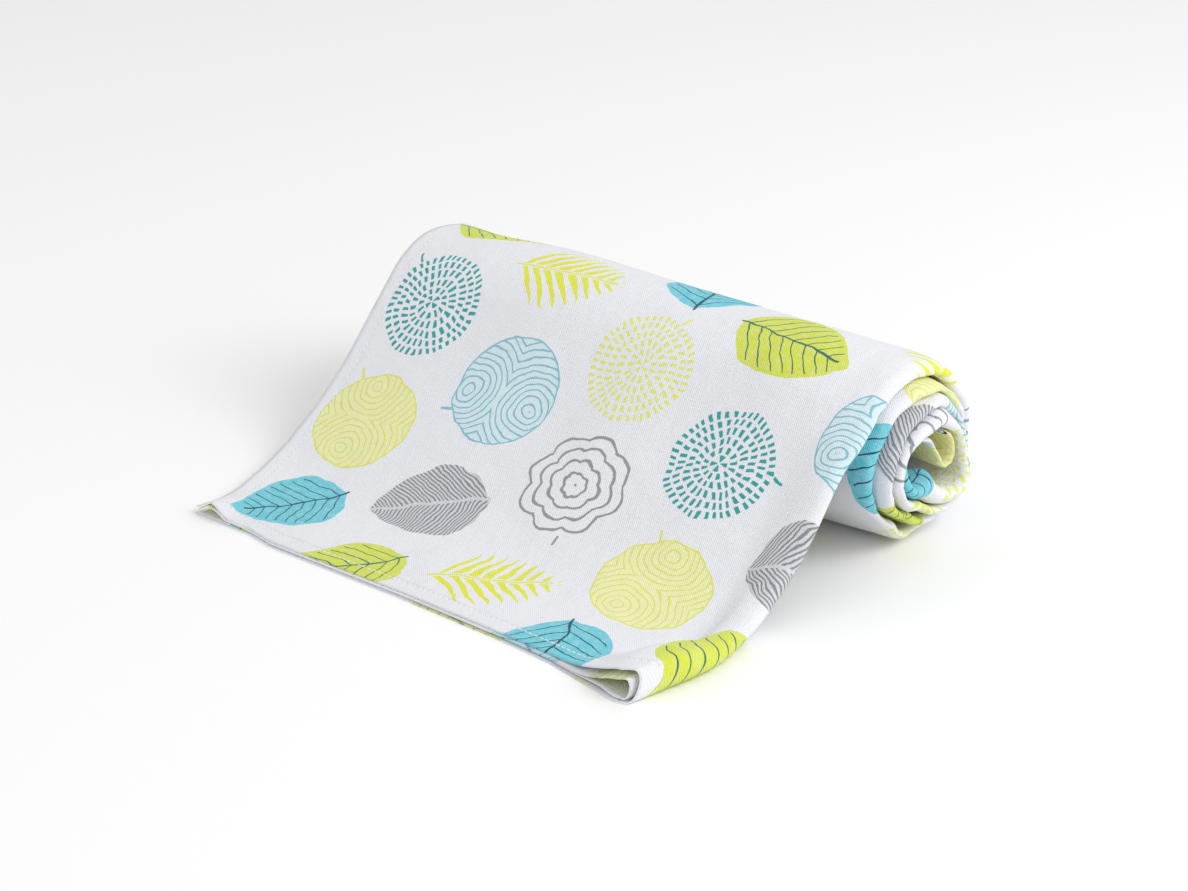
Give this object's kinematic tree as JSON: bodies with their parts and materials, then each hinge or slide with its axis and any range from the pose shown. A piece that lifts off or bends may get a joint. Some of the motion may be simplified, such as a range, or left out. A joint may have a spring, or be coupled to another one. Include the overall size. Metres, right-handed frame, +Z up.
{
  "type": "folded and rolled muslin cloth",
  "caption": "Thin square baby muslin, folded lengthwise into a flat strip and loosely rolled up, with its free end lying in front of the roll.",
  "frame": {"origin": "on the surface that the cloth rests on, under the middle of the cloth's box", "axes": "+X along the roll, towards the end where its folds show; -Y towards the free end; +Z up"},
  "size_m": [0.3144, 0.2684, 0.0959],
  "materials": {
    "muslin": "matt woven cotton, printed"
  },
  "bodies": {
    "root": {"muslin_cloth": "muslin"}
  },
  "joints": []
}
